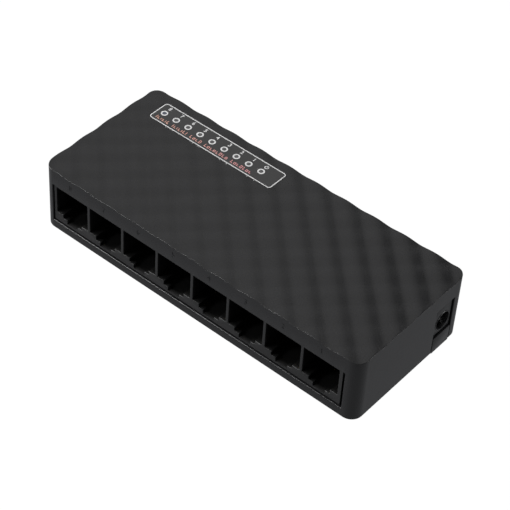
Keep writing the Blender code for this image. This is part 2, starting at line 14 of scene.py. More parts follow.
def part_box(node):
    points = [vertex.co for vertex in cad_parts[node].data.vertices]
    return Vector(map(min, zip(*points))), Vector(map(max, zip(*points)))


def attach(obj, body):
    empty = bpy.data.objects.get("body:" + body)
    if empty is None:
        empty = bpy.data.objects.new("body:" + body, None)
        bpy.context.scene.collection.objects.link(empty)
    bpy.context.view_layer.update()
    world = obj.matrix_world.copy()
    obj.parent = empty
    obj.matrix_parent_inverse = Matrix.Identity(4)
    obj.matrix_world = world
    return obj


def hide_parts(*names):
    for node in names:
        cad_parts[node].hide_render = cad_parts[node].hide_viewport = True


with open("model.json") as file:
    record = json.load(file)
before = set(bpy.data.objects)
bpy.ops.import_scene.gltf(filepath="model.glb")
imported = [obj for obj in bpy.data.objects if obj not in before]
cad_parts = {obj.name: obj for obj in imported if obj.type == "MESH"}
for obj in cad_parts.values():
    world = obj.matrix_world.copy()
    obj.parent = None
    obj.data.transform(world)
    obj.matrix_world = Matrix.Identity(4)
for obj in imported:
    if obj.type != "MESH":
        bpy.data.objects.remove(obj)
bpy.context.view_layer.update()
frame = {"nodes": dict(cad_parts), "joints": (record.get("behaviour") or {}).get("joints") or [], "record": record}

MM = 0.001
PORTS = 8
ROOT = "switch"


def box_mm(node):
    low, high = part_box(node)
    return low / MM, high / MM


# Sizes read from the frame
CASE_LOW, CASE_HIGH = box_mm("top_cover")
BLOCK_LOW, BLOCK_HIGH = box_mm("rj45_housing")
BOARD_HIGH = box_mm("main_board")[1]
JACK_LOW, JACK_HIGH = box_mm("dc_jack_body")
LIGHTS = [f"led_port_{number}" for number in range(PORTS, 0, -1)] + ["led_power"]
LIGHT_SPOTS = [sum(box_mm(name), Vector()) / 2 for name in LIGHTS]
SCREW_SPOTS = [sum(box_mm(f"case_screw_{index}"), Vector()) / 2 for index in (1, 2)]
SOCKETS = {entry["name"]: entry["box_m"] for entry in frame["record"]["physics"]["openings"]}
PORT_X = [sum(SOCKETS[f"port_{n}_socket"][i][0] for i in (0, 1)) / 2 / MM for n in range(1, PORTS + 1)]
PIVOTS = {joint["child"]: Vector(joint["pos_m"]) / MM for joint in frame["joints"]}

# Case: the sizes that its solid has, with the rounding of its edges
CORNER, WALL, ROOF_UNDERSIDE = 4.0, 1.6, 21.4
EDGE = 0.12                      # rounding where the roof meets the walls
FOOT_EDGE = 0.25
WAVE_PITCH, WAVE_RISE = 11.15, 0.3
RISING_VALLEY, FALLING_VALLEY = 2.45, -3.10
CREST_HALF, VALLEY_HALF = 2.2, 1.3   # half widths of a crest's and a valley's rounding, along X
PAD_LEFT, PAD_RIGHT, PAD_FRONT, PAD_BACK = -53.8, -4.0, 13.2, 22.25
PAD_TOP, PAD_CORNER, PAD_SKIN, PAD_SLOPE = 23.9, 1.4, 0.9, 0.12
WINDOW = (-57.7, 56.6, 3.35, 17.95)
OUTLET = (11.6, 20.4, -1.0, 17.6)
TAB_TOP = 6.1
LIGHT_HOLE, LIGHT_POCKET = 0.75, 2.0

# Camera: the view of the object from the front right, above
CAMERA_PLACE = (246.5, -318.5, 400.75)
CAMERA_AZIMUTH, CAMERA_ELEVATION, CAMERA_ROLL = 37.4545, 44.2564, 4.063
CAMERA_LENS, SENSOR = 130.59, 36.0

# Soft light from below and from above the horizon
TABLE_GLOW, ROOM_GLOW = 0.268, 0.028


# ---------------------------------------------------------------- camera, floor, lights

def facing(azimuth, elevation):
    a, e = math.radians(azimuth), math.radians(elevation)
    return Vector((math.sin(a) * math.cos(e), -math.cos(a) * math.cos(e), math.sin(e)))


def make_camera():
    data = bpy.data.cameras.new("camera")
    data.lens = CAMERA_LENS
    data.sensor_width = SENSOR
    data.clip_start, data.clip_end = 0.01, 20
    camera = bpy.data.objects.new("camera", data)
    bpy.context.scene.collection.objects.link(camera)
    back = facing(CAMERA_AZIMUTH, CAMERA_ELEVATION)
    turn = (-back).to_track_quat("-Z", "Y") @ Quaternion((0, 0, 1), math.radians(CAMERA_ROLL))
    camera.rotation_mode = "QUATERNION"
    camera.rotation_quaternion = turn
    camera.location = Vector(CAMERA_PLACE) * MM
    bpy.context.scene.camera = camera


def area_light(name, azimuth, elevation, distance, size, power):
    """A soft rectangular light that looks at the middle of the case from the given side."""
    data = bpy.data.lights.new(name, "AREA")
    data.shape = "RECTANGLE"
    data.size, data.size_y = size
    data.energy = power
    light = bpy.data.objects.new(name, data)
    light.visible_camera = False
    bpy.context.scene.collection.objects.link(light)
    back = facing(azimuth, elevation)
    light.location = Vector((0, 0, 12 * MM)) + back * distance
    light.rotation_mode = "QUATERNION"
    light.rotation_quaternion = (-back).to_track_quat("-Z", "Y")


def make_studio():
    bpy.context.scene.view_settings.view_transform = "Standard"
    world = bpy.data.worlds.new("studio")
    bpy.context.scene.world = world
    world.use_nodes = True
    tree = world.node_tree
    sky = tree.nodes["Background"]
    sky.inputs["Color"].default_value = (0.96, 0.97, 1.0, 1.0)
    split = tree.nodes.new("ShaderNodeSeparateXYZ")
    level = tree.nodes.new("ShaderNodeMapRange")
    level.inputs["From Min"].default_value = -0.15
    level.inputs["From Max"].default_value = 0.1
    level.inputs["To Min"].default_value = TABLE_GLOW
    level.inputs["To Max"].default_value = ROOM_GLOW
    place = tree.nodes.new("ShaderNodeTexCoord").outputs["Generated"]
    tree.links.new(place, split.inputs["Vector"])
    tree.links.new(split.outputs["Z"], level.inputs["Value"])
    tree.links.new(level.outputs["Result"], sky.inputs["Strength"])
    area_light("key", -118, 46, 0.9, (0.9, 1.0), 1.12)
    area_light("back_strip", -142, 50, 0.9, (0.4, 0.7), 0.21)
    area_light("front_left", -36, 34, 1.0, (0.16, 0.16), 3.9)
    area_light("front_wide", -75, 22, 1.0, (0.5, 0.4), 5.8)
    area_light("low_left", -60, 2, 0.9, (0.8, 0.2), 5.5)
    area_light("right_back", 120, 12, 0.9, (0.6, 0.4), 2.9)
    area_light("above", 0, 86, 0.9, (0.9, 0.9), 1.03)
    area_light("back_fill", 178, 14, 0.9, (0.8, 0.4), 1.5)
    bm = bmesh.new()
    bmesh.ops.create_grid(bm, x_segments=8, y_segments=8, size=2.5)
    floor = add_piece("floor", bm, floor_material(), None)
    floor.location.z = -0.05 * MM
    floor.visible_diffuse = False
    floor.visible_glossy = False
    floor.visible_shadow = False


# ---------------------------------------------------------------- materials

class Nodes:
    """Short names for the few nodes that the materials share."""

    def __init__(self, name):
        self.material = bpy.data.materials.new(name)
        self.material.use_nodes = True
        self.tree = self.material.node_tree
        self.shader = self.tree.nodes["Principled BSDF"]
        self.place = self.tree.nodes.new("ShaderNodeTexCoord").outputs["Object"]

    def set(self, **values):
        for name, value in values.items():
            self.shader.inputs[name.replace("_", " ")].default_value = value

    def link(self, source, name):
        self.tree.links.new(source, self.shader.inputs[name])

    def noise(self, size_mm, detail=3.0, stretch=None):
        node = self.tree.nodes.new("ShaderNodeTexNoise")
        node.inputs["Scale"].default_value = 1.0 / (size_mm * MM)
        node.inputs["Detail"].default_value = detail
        place = self.place
        if stretch:
            mapping = self.tree.nodes.new("ShaderNodeMapping")
            mapping.inputs["Scale"].default_value = stretch
            self.tree.links.new(place, mapping.inputs["Vector"])
            place = mapping.outputs["Vector"]
        self.tree.links.new(place, node.inputs["Vector"])
        return node.outputs["Fac"]

    def blend(self, factor, first, second, low=0.3, high=0.7):
        """A colour between two as the factor goes from low to high."""
        ramp = self.tree.nodes.new("ShaderNodeValToRGB")
        ramp.color_ramp.elements[0].position = low
        ramp.color_ramp.elements[0].color = (*first, 1)
        ramp.color_ramp.elements[1].position = high
        ramp.color_ramp.elements[1].color = (*second, 1)
        self.tree.links.new(factor, ramp.inputs["Fac"])
        return ramp.outputs["Color"]

    def spread(self, factor, low, high):
        node = self.tree.nodes.new("ShaderNodeMapRange")
        node.inputs["From Min"].default_value = 0.3
        node.inputs["From Max"].default_value = 0.7
        node.inputs["To Min"].default_value = low
        node.inputs["To Max"].default_value = high
        self.tree.links.new(factor, node.inputs["Value"])
        return node.outputs["Result"]

    def bump(self, factor, depth_mm, strength=1.0):
        node = self.tree.nodes.new("ShaderNodeBump")
        node.inputs["Strength"].default_value = strength
        node.inputs["Distance"].default_value = depth_mm * MM
        self.tree.links.new(factor, node.inputs["Height"])
        self.link(node.outputs["Normal"], "Normal")


def shade(colour, amount):
    return tuple(channel * amount for channel in colour)


def moulded(name, colour, roughness, grain_mm=0.30, grain_depth=0.006, drift=0.10):
    """Moulded plastic: spark-eroded grain, slow drift of tone and gloss."""
    nodes = Nodes(name)
    fine = nodes.noise(grain_mm, 4.0)
    slow = nodes.noise(9.0, 2.0)
    nodes.link(nodes.blend(slow, shade(colour, 1 - drift), shade(colour, 1 + drift)), "Base Color")
    nodes.link(nodes.spread(fine, roughness - 0.04, roughness + 0.04), "Roughness")
    nodes.bump(fine, grain_depth)
    return nodes.material


def jack_plastic():
    """Black moulding, a little greyer at its front face; the darkening down into the cavities is painted shade."""
    nodes = Nodes("jack_plastic")
    # Mask for the painted shade: 0 at the front face, 1 about a millimetre deeper into the cavities.
    split = nodes.tree.nodes.new("ShaderNodeSeparateXYZ")
    nodes.tree.links.new(nodes.place, split.inputs["Vector"])
    depth = nodes.tree.nodes.new("ShaderNodeMapRange")
    depth.inputs["From Min"].default_value = (BLOCK_LOW.y + 0.2) * MM
    depth.inputs["From Max"].default_value = (BLOCK_LOW.y + 1.2) * MM
    nodes.tree.links.new(split.outputs["Y"], depth.inputs["Value"])
    # Painted shade: the base colour darkens from the front face into the cavities, standing in for the shade
    # inside the ports.
    nodes.link(nodes.blend(depth.outputs["Result"], (0.013, 0.013, 0.0134), (0.0035, 0.0035, 0.0036), 0, 1),
               "Base Color")
    fine = nodes.noise(0.5, 4.0)
    nodes.link(nodes.spread(fine, 0.36, 0.46), "Roughness")
    nodes.bump(fine, 0.002)
    return nodes.material


def metal(name, colour, roughness, stretch=None):
    nodes = Nodes(name)
    nodes.set(Metallic=1.0)
    grain = nodes.noise(0.25, 3.0, stretch)
    nodes.link(nodes.blend(grain, shade(colour, 0.9), shade(colour, 1.05)), "Base Color")
    nodes.link(nodes.spread(grain, roughness - 0.08, roughness + 0.08), "Roughness")
    nodes.bump(grain, 0.004)
    return nodes.material


def ink(name, colour):
    """Screen-printed ink, with a slightly uneven cover."""
    nodes = Nodes(name)
    speck = nodes.noise(0.12, 2.0)
    nodes.link(nodes.blend(speck, shade(colour, 0.9), colour), "Base Color")
    nodes.link(nodes.spread(speck, 0.42, 0.56), "Roughness")
    nodes.bump(speck, 0.004)
    return nodes.material


def marks_ink():
    """Ink that runs from orange at the left end of the line to red at its right end."""
    nodes = Nodes("ink_marks")
    split = nodes.tree.nodes.new("ShaderNodeSeparateXYZ")
    nodes.tree.links.new(nodes.place, split.inputs["Vector"])
    along = nodes.tree.nodes.new("ShaderNodeMapRange")
    along.inputs["From Min"].default_value = (PAD_LEFT + 4) * MM
    along.inputs["From Max"].default_value = (PAD_RIGHT - 9) * MM
    nodes.tree.links.new(split.outputs["X"], along.inputs["Value"])
    nodes.link(nodes.blend(along.outputs["Result"], (0.80, 0.44, 0.34), (0.78, 0.34, 0.36), 0, 1),
               "Base Color")
    nodes.link(nodes.spread(nodes.noise(0.12, 2.0), 0.42, 0.56), "Roughness")
    return nodes.material


def laminate():
    """Green solder mask with the faint relief of tracks under it."""
    nodes = Nodes("board_laminate")
    tracks = nodes.tree.nodes.new("ShaderNodeTexBrick")
    tracks.inputs["Scale"].default_value = 1.0 / (1.2 * MM)
    tracks.inputs["Mortar Size"].default_value = 0.12
    nodes.tree.links.new(nodes.place, tracks.inputs["Vector"])
    green = nodes.blend(tracks.outputs["Fac"], (0.010, 0.085, 0.030), (0.016, 0.130, 0.050), 0, 1)
    nodes.link(green, "Base Color")
    nodes.link(nodes.spread(nodes.noise(0.4), 0.28, 0.40), "Roughness")
    nodes.bump(tracks.outputs["Fac"], 0.03, 0.6)
    return nodes.material


def lens(name, colour):
    """Diffused epoxy of an unlit indicator light."""
    nodes = Nodes(name)
    haze = nodes.noise(0.6, 2.0)
    nodes.link(nodes.blend(haze, shade(colour, 0.85), colour), "Base Color")
    nodes.link(nodes.spread(haze, 0.18, 0.30), "Roughness")
    nodes.set(Transmission_Weight=0.25)
    return nodes.material


def floor_material():
    nodes = Nodes("floor")
    tone = nodes.noise(60.0, 2.0)
    nodes.link(nodes.blend(tone, (0.02, 0.02, 0.02), (0.03, 0.03, 0.03)), "Base Color")
    nodes.set(Roughness=0.8, Specular_IOR_Level=0.0)
    nodes.shader.inputs["Emission Color"].default_value = (1, 1, 1, 1)
    nodes.shader.inputs["Emission Strength"].default_value = 1.0
    return nodes.material


# ---------------------------------------------------------------- shapes

def add_piece(name, bm, look, body=ROOT, stands_for=(), smooth=35):
    """Turn a bmesh in metres into a named piece that rides on a body."""
    mesh = bpy.data.meshes.new(name)
    bm.to_mesh(mesh)
    bm.free()
    return add_mesh(name, mesh, look, body, stands_for, smooth)


def add_mesh(name, mesh, look, body=ROOT, stands_for=(), smooth=35):
    mesh.materials.clear()
    mesh.materials.append(look)
    if smooth:
        mesh.shade_smooth()
        mesh.set_sharp_from_angle(angle=math.radians(smooth))
    piece = bpy.data.objects.new(name, mesh)
    bpy.context.scene.collection.objects.link(piece)
    if body:
        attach(piece, body)
    if stands_for:
        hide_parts(*stands_for)
    return piece


def scratch_object(build):
    """A bare object, in millimetres turned to metres, used only as a Boolean's tool."""
    bm = bmesh.new()
    build(bm)
    bmesh.ops.recalc_face_normals(bm, faces=bm.faces)
    bmesh.ops.scale(bm, vec=(MM, MM, MM), verts=bm.verts)
    mesh = bpy.data.meshes.new("tool")
    bm.to_mesh(mesh)
    bm.free()
    tool = bpy.data.objects.new("tool", mesh)
    bpy.context.scene.collection.objects.link(tool)
    return tool


def applied(thing):
    """The object's mesh with its modifiers applied; the object itself is removed."""
    bpy.context.view_layer.update()
    graph = bpy.context.evaluated_depsgraph_get()
    mesh = bpy.data.meshes.new_from_object(thing.evaluated_get(graph))
    bpy.data.objects.remove(thing, do_unlink=True)
    return mesh


def boolean(mesh, operation, build):
    """Join a shape to a mesh or cut it away, and return the new mesh."""
    tool = scratch_object(build)
    host = bpy.data.objects.new("host", mesh)
    bpy.context.scene.collection.objects.link(host)
    change = host.modifiers.new("change", "BOOLEAN")
    change.operation = operation
    change.object = tool
    result = applied(host)
    bpy.data.objects.remove(tool, do_unlink=True)
    return result


def arc(centre, radius, start, end, steps):
    angles = [math.radians(start + (end - start) * i / steps) for i in range(steps + 1)]
    return [(centre[0] + radius * math.cos(a), centre[1] + radius * math.sin(a)) for a in angles]


def circle(centre, radius, sides):
    return arc(centre, radius, 0, 360, sides)[:-1]


def rounded_rectangle(left, right, front, back, radius, steps):
    corners = ((right - radius, back - radius), (left + radius, back - radius),
               (left + radius, front + radius), (right - radius, front + radius))
    points = []
    for quarter, centre in enumerate(corners):
        points += arc(centre, radius, 90 * quarter, 90 * quarter + 90, steps)
    return points


PLACES = {
    "X": lambda u, v, w: Vector((w, u, v)),
    "Y": lambda u, v, w: Vector((u, w, v)),
    "Z": lambda u, v, w: Vector((u, v, w)),
}


def loft(bm, loops, along):
    """Skin a stack of equal-sized outlines, each given as (points, place on the axis), and cap it."""
    rings = [[bm.verts.new(PLACES[along](u, v, w)) for u, v in points] for points, w in loops]
    count = len(rings[0])
    for lower, upper in zip(rings, rings[1:]):
        for i in range(count):
            j = (i + 1) % count
            bm.faces.new((lower[i], lower[j], upper[j], upper[i]))
    bm.faces.new(rings[0])
    bm.faces.new(rings[-1])
    bmesh.ops.recalc_face_normals(bm, faces=bm.faces)


def prism(bm, points, along, low, high):
    loft(bm, [(points, low), (points, high)], along)


def block(bm, low, high):
    points = [(low[0], low[1]), (high[0], low[1]), (high[0], high[1]), (low[0], high[1])]
    prism(bm, points, "Z", low[2], high[2])


def turned(bm, profile, centre, along="Z", sides=24):
    """Loft of circles: profile is (radius, place) pairs from one end to the other."""
    u, v, w = centre
    loft(bm, [(circle((u, v), r, sides), w + h) for r, h in profile], along)


def solid(name, build, look, body=ROOT, stands_for=(), bevel=0.0, segments=2, smooth=35):
    """A piece from a builder in millimetres, with its edges rounded."""
    tool = scratch_object(build)
    if bevel:
        round_edges(tool, bevel, segments)
    return add_mesh(name, applied(tool), look, body, stands_for, smooth)


def round_edges(thing, width, segments=2, angle=30):
    change = thing.modifiers.new("edge", "BEVEL")
    change.width = width * MM
    change.segments = segments
    change.limit_method = "ANGLE"
    change.angle_limit = math.radians(angle)
    change.use_clamp_overlap = True
    change.harden_normals = False


def refined(node, look, width, body=ROOT, segments=2):
    """The CAD solid's own shape with flat faces merged and its edges rounded."""
    bm = bmesh.new()
    bm.from_mesh(frame["nodes"][node].data)
    bmesh.ops.remove_doubles(bm, verts=bm.verts, dist=1e-6)
    bmesh.ops.dissolve_limit(bm, angle_limit=math.radians(1), verts=bm.verts, edges=bm.edges)
    mesh = bpy.data.meshes.new(node)
    bm.to_mesh(mesh)
    bm.free()
    host = bpy.data.objects.new("host", mesh)
    bpy.context.scene.collection.objects.link(host)
    round_edges(host, width, segments)
    return add_mesh("shaped_" + node, applied(host), look, body, (node,))


# ---------------------------------------------------------------- roof of the cover

def zigzag(position, valley):
    """One wave set: flat slopes between rounded crests and valleys, from 0 to WAVE_RISE."""
    from_valley = (position - valley) % WAVE_PITCH
    half = WAVE_PITCH / 2
    from_crest = abs(from_valley - half)
    slope = WAVE_RISE / half
    height = WAVE_RISE - slope * from_crest
    if from_crest < CREST_HALF:
        height -= slope * (CREST_HALF - from_crest) ** 2 / (2 * CREST_HALF)
    if half - from_crest < VALLEY_HALF:
        height += slope * (VALLEY_HALF - half + from_crest) ** 2 / (2 * VALLEY_HALF)
    return height


def inside_distance(x, y, box, radius):
    """How far a point lies inside a rounded rectangle (left, right, front, back)."""
    left, right, front, back = box
    centre_x, centre_y = (left + right) / 2, (front + back) / 2
    reach_x = abs(x - centre_x) - (right - left) / 2 + radius
    reach_y = abs(y - centre_y) - (back - front) / 2 + radius
    outside = math.hypot(max(reach_x, 0), max(reach_y, 0))
    return radius - outside - min(max(reach_x, reach_y), 0)


CASE_BOX = (CASE_LOW.x, CASE_HIGH.x, CASE_LOW.y, CASE_HIGH.y)
PAD_BOX = (PAD_LEFT, PAD_RIGHT, PAD_FRONT, PAD_BACK)


def roof_height(x, y):
    height = CASE_HIGH.z - 2 * WAVE_RISE + zigzag(x + y, RISING_VALLEY) + zigzag(x - y, FALLING_VALLEY)
    if inside_distance(x, y, PAD_BOX, PAD_CORNER) > -0.01:
        height = PAD_TOP
    depth = inside_distance(x, y, CASE_BOX, CORNER)
    if depth < EDGE:
        height -= EDGE - math.sqrt(max(EDGE ** 2 - (EDGE - max(depth, 0)) ** 2, 0))
    return height


def clip_to_convex(point, direction, outline):
    """Where the line through `point` crosses a convex outline, as two points, or None."""
    first, last = -1e9, 1e9
    for (x0, y0), (x1, y1) in zip(outline, outline[1:] + outline[:1]):
        normal = (y0 - y1, x1 - x0)
        speed = normal[0] * direction[0] + normal[1] * direction[1]
        gap = normal[0] * (point[0] - x0) + normal[1] * (point[1] - y0)
        if abs(speed) < 1e-12:
            if gap < 0:
                return None
        elif speed > 0:
            first = max(first, -gap / speed)
        else:
            last = min(last, -gap / speed)
    if last - first < 0.05:
        return None
    return [(point[0] + direction[0] * t, point[1] + direction[1] * t) for t in (first, last)]


def roof_lines(outline):
    """Creases of the relief, each cut to the outline."""
    offsets = [VALLEY_HALF * k / 2 for k in range(-2, 3)]
    offsets += [WAVE_PITCH / 2 + CREST_HALF * k / 3 for k in range(-3, 4)]
    reach = (CASE_HIGH.x - CASE_LOW.x + CASE_HIGH.y - CASE_LOW.y) / 2
    lines = []
    for slope, valley in ((1, RISING_VALLEY), (-1, FALLING_VALLEY)):
        for period in range(-math.ceil(reach / WAVE_PITCH) - 1, math.ceil(reach / WAVE_PITCH) + 1):
            for offset in offsets:
                place = valley + period * WAVE_PITCH + offset
                cut = clip_to_convex((place / 2, slope * place / 2), (1, -slope), outline)
                if cut:
                    lines.append(cut)
    return lines


def roof_mesh():
    """The cover's outside as one closed solid: relief, rounded rim, walls and foot."""
    points, edges = [], []

    def add_loop(loop):
        start = len(points)
        points.extend(Vector(p) for p in loop)
        edges.extend((start + i, start + (i + 1) % len(loop)) for i in range(len(loop)))

    left, right, front, back = CASE_BOX
    rim = [EDGE * (1 - math.cos(math.radians(a))) for a in (0, 25, 45, 65, 90)]
    for inset in rim:
        add_loop(rounded_rectangle(left + inset, right - inset, front + inset, back - inset,
                                   CORNER - inset, 14))
    for grow in (0, PAD_SLOPE):
        add_loop(rounded_rectangle(PAD_LEFT - grow, PAD_RIGHT + grow, PAD_FRONT - grow,
                                   PAD_BACK + grow, PAD_CORNER + grow, 6))
    outline = rounded_rectangle(left, right, front, back, CORNER, 14)
    for line in roof_lines(outline):
        start = len(points)
        points.extend(Vector(p) for p in line)
        edges.append((start, start + 1))
    flat, _, faces, *_ = delaunay_2d_cdt(points, edges, [], 0, 1e-4)
    bm = bmesh.new()
    verts = [bm.verts.new((p.x, p.y, roof_height(p.x, p.y))) for p in flat]
    for face in faces:
        bm.faces.new([verts[i] for i in face])
    bmesh.ops.recalc_face_normals(bm, faces=bm.faces)
    if sum(face.normal.z for face in bm.faces) < 0:
        bmesh.ops.reverse_faces(bm, faces=bm.faces)
    build_walls(bm)
    bmesh.ops.scale(bm, vec=(MM, MM, MM), verts=bm.verts)
    mesh = bpy.data.meshes.new("roof")
    bm.to_mesh(mesh)
    bm.free()
    return mesh


def build_walls(bm):
    """Carry the roof's boundary down in rings to the foot and close it."""
    levels = ((CASE_HIGH.z - 2.2, 0), (CASE_LOW.z + FOOT_EDGE, 0),
              (CASE_LOW.z + FOOT_EDGE * 0.3, FOOT_EDGE * 0.3), (CASE_LOW.z, FOOT_EDGE))
    ring = [edge for edge in bm.edges if edge.is_boundary]
    for z, inset in levels:
        grown = bmesh.ops.extrude_edge_only(bm, edges=ring)["geom"]
        ring = [part for part in grown if isinstance(part, bmesh.types.BMEdge)]
        for vert in {v for edge in ring for v in edge.verts}:
            vert.co.z = z
            if inset:
                pull_in(vert, inset)
    bmesh.ops.holes_fill(bm, edges=ring, sides=0)
    bmesh.ops.recalc_face_normals(bm, faces=bm.faces)


def pull_in(vert, inset):
    """Move a vertex of the wall in from the outline to the given depth."""
    step = 0.01
    depth = inside_distance(vert.co.x, vert.co.y, CASE_BOX, CORNER)
    slope_x = inside_distance(vert.co.x + step, vert.co.y, CASE_BOX, CORNER) - depth
    slope_y = inside_distance(vert.co.x, vert.co.y + step, CASE_BOX, CORNER) - depth
    length = math.hypot(slope_x, slope_y) or 1.0
    travel = inset - depth
    vert.co.x += slope_x / length * travel
    vert.co.y += slope_y / length * travel


# ---------------------------------------------------------------- openings of the cover

def grown(box, amount):
    left, right, low, high = box
    return (left - amount, right + amount, low - amount, high + amount)


def flared(bm, box, radius, along, face, inward, edge=0.35):
    """A cutter whose mouth widens in a round lip at the outer face."""
    turns = [math.radians(a) for a in (0, 18, 36, 54, 72, 90)]
    steps = [edge * (1 - math.sin(a)) for a in turns]
    depths = [edge * (1 - math.cos(a)) for a in turns]
    loops = [(rounded_rectangle(*grown(box, edge), radius + edge, 4), face - inward * 2)]
    for grow, depth in zip(steps, depths):
        loops.append((rounded_rectangle(*grown(box, grow), radius + grow, 4), face + inward * depth))
    loops.append((rounded_rectangle(*box, radius, 4), face + inward * (WALL + 1)))
    loft(bm, loops, along)


def build_cavity(bm):
    left, right, front, back = CASE_BOX
    inner = rounded_rectangle(left + WALL, right - WALL, front + WALL, back - WALL, CORNER - WALL, 8)
    prism(bm, inner, "Z", -1, ROOF_UNDERSIDE)


def build_bosses(bm):
    for spot in SCREW_SPOTS:
        prism(bm, circle((spot.x, spot.y), 2.9, 32), "Z", BOARD_HIGH.z + 0.3, ROOF_UNDERSIDE + 0.4)


def build_light_holes(bm):
    for spot in LIGHT_SPOTS:
        lip = 0.1
        profile = [(LIGHT_POCKET, ROOF_UNDERSIDE - 1), (LIGHT_POCKET, PAD_TOP - PAD_SKIN),
                   (LIGHT_HOLE, PAD_TOP - PAD_SKIN), (LIGHT_HOLE, PAD_TOP - lip),
                   (LIGHT_HOLE + lip, PAD_TOP), (LIGHT_HOLE + lip, PAD_TOP + 1)]
        turned(bm, profile, (spot.x, spot.y, 0), sides=32)
    for spot in SCREW_SPOTS:
        prism(bm, circle((spot.x, spot.y), 1.4, 24), "Z", BOARD_HIGH.z, 13.0)


def glyph_mesh(text, height, place, turn, thickness, name, weight=0.0):
    """Characters as a closed solid, `height` tall, centred at `place` in millimetres."""
    curve = bpy.data.curves.new(name, "FONT")
    curve.body = text
    curve.size = height * MM / 0.7
    curve.align_x = "CENTER"
    curve.align_y = "CENTER"
    curve.extrude = thickness * MM / 2
    curve.resolution_u = 4
    curve.offset = weight * MM
    thing = bpy.data.objects.new(name, curve)
    bpy.context.scene.collection.objects.link(thing)
    mesh = applied(thing)
    mesh.transform(Matrix.Translation(Vector(place) * MM) @ turn)
    bm = bmesh.new()
    bm.from_mesh(mesh)
    bmesh.ops.remove_doubles(bm, verts=bm.verts, dist=1e-7)
    bmesh.ops.recalc_face_normals(bm, faces=bm.faces)
    bm.to_mesh(mesh)
    bm.free()
    return mesh


def joined(meshes, name):
    bm = bmesh.new()
    for mesh in meshes:
        bm.from_mesh(mesh)
    result = bpy.data.meshes.new(name)
    bm.to_mesh(result)
    bm.free()
    return result


def engrave_port_numbers(cover):
    """Shallow numbers over the ports, 8 to 1 from the left."""
    upright = Matrix.Rotation(math.radians(90), 4, "X")
    depth = 0.11
    for number, x in enumerate(PORT_X, 1):
        place = (x, CASE_LOW.y, 20.9)
        tool_mesh = glyph_mesh(str(number), 1.9, place, upright, 2 * depth, "number")
        cover = boolean(cover, "DIFFERENCE", lambda bm: read_in(bm, tool_mesh))
    return cover


def read_in(bm, mesh):
    bm.from_mesh(mesh)
    bmesh.ops.scale(bm, vec=(1 / MM,) * 3, verts=bm.verts)


def make_cover(look):
    cover = roof_mesh()
    cover = boolean(cover, "DIFFERENCE", build_cavity)
    cover = boolean(cover, "UNION", build_bosses)
    cover = boolean(cover, "DIFFERENCE", lambda bm: flared(bm, WINDOW, 0.35, "Y", CASE_LOW.y, 1))
    cover = boolean(cover, "DIFFERENCE", lambda bm: flared(bm, OUTLET, 0.3, "X", CASE_HIGH.x, -1, 0.2))
    cover = boolean(cover, "DIFFERENCE", build_light_holes)
    cover = engrave_port_numbers(cover)
    piece = add_mesh("shaped_top_cover", cover, look, ROOT, ("top_cover",), 28)
    piece.modifiers.new("flat_normals", "WEIGHTED_NORMAL").keep_sharp = True
    return piece


# ---------------------------------------------------------------- print on the pad

def ring_outline(bm, outer, inner, low, high):
    """A flat closed band between two outlines with the same number of points."""
    rings = []
    for points, z in ((outer, low), (outer, high), (inner, high), (inner, low)):
        rings.append([bm.verts.new((x, y, z)) for x, y in points])
    count = len(outer)
    for first, second in zip(rings, rings[1:] + rings[:1]):
        for i in range(count):
            j = (i + 1) % count
            bm.faces.new((first[i], first[j], second[j], second[i]))
    bmesh.ops.recalc_face_normals(bm, faces=bm.faces)


FILM_LOW, FILM_HIGH = PAD_TOP - 0.02, PAD_TOP + 0.04
INK_LOW, INK_HIGH = FILM_HIGH - 0.01, FILM_HIGH + 0.02
FRAME_BOX = (-53.73, -4.12, 13.37, 21.98)
FRAME_LINE = 0.34


def build_frame_line(bm):
    left, right, front, back = FRAME_BOX
    line = FRAME_LINE
    outer = rounded_rectangle(left, right, front, back, 1.1, 8)
    inner = rounded_rectangle(left + line, right - line, front + line, back - line, 1.1 - line, 8)
    ring_outline(bm, outer, inner, INK_LOW, INK_HIGH)


def build_light_rings(bm):
    for spot in LIGHT_SPOTS:
        centre = (spot.x, spot.y)
        ring_outline(bm, circle(centre, 1.19, 40), circle(centre, LIGHT_HOLE - 0.03, 40),
                     INK_LOW, INK_HIGH)


def build_power_mark(bm):
    """A broken ring with an upright bar: the usual power sign."""
    spot = LIGHT_SPOTS[-1]
    centre = (spot.x + 0.1, spot.y + 2.55)
    outer = arc(centre, 0.72, 125, 415, 24)
    inner = arc(centre, 0.46, 415, 125, 24)
    prism(bm, outer + inner, "Z", INK_LOW, INK_HIGH)
    block(bm, (centre[0] - 0.13, centre[1] + 0.1, INK_LOW), (centre[0] + 0.13, centre[1] + 0.95, INK_HIGH))


def build_marks(bm):
    """A line of small plain marks in word-like groups: bars, dashes, hooks and open boxes."""
    x = FRAME_BOX[0] + 1.9
    low, line = FRAME_BOX[2] + 1.05, 0.24
    kind = 0
    for count in (6, 7, 4, 8, 7):
        for index in range(count):
            tall = 1.32 if index == 0 or kind % 3 == 0 else 1.0
            width = mark(bm, kind % 4, x, low, tall, line)
            x += width + 0.39
            kind += 3 if index % 2 else 1
        x += 1.15


def mark(bm, kind, x, low, tall, line):
    """One printed mark; returns its width."""
    width = (0.30, 0.78, 0.86, 0.70)[kind]
    block(bm, (x, low, INK_LOW), (x + line, low + tall, INK_HIGH))
    if kind in (1, 2):
        block(bm, (x + line, low, INK_LOW), (x + width, low + line, INK_HIGH))
    if kind in (2, 3):
        block(bm, (x + line, low + tall - line, INK_LOW), (x + width, low + tall, INK_HIGH))
    if kind == 2:
        block(bm, (x + width - line, low + line, INK_LOW), (x + width, low + tall - line, INK_HIGH))
    return width


def build_film(bm):
    """Printed film on the pad, open over the lights."""
    inset = 0.12
    outline = rounded_rectangle(PAD_LEFT + inset, PAD_RIGHT - inset, PAD_FRONT + inset,
                                PAD_BACK - inset, PAD_CORNER - inset, 8)
    prism(bm, outline, "Z", FILM_LOW, FILM_HIGH)


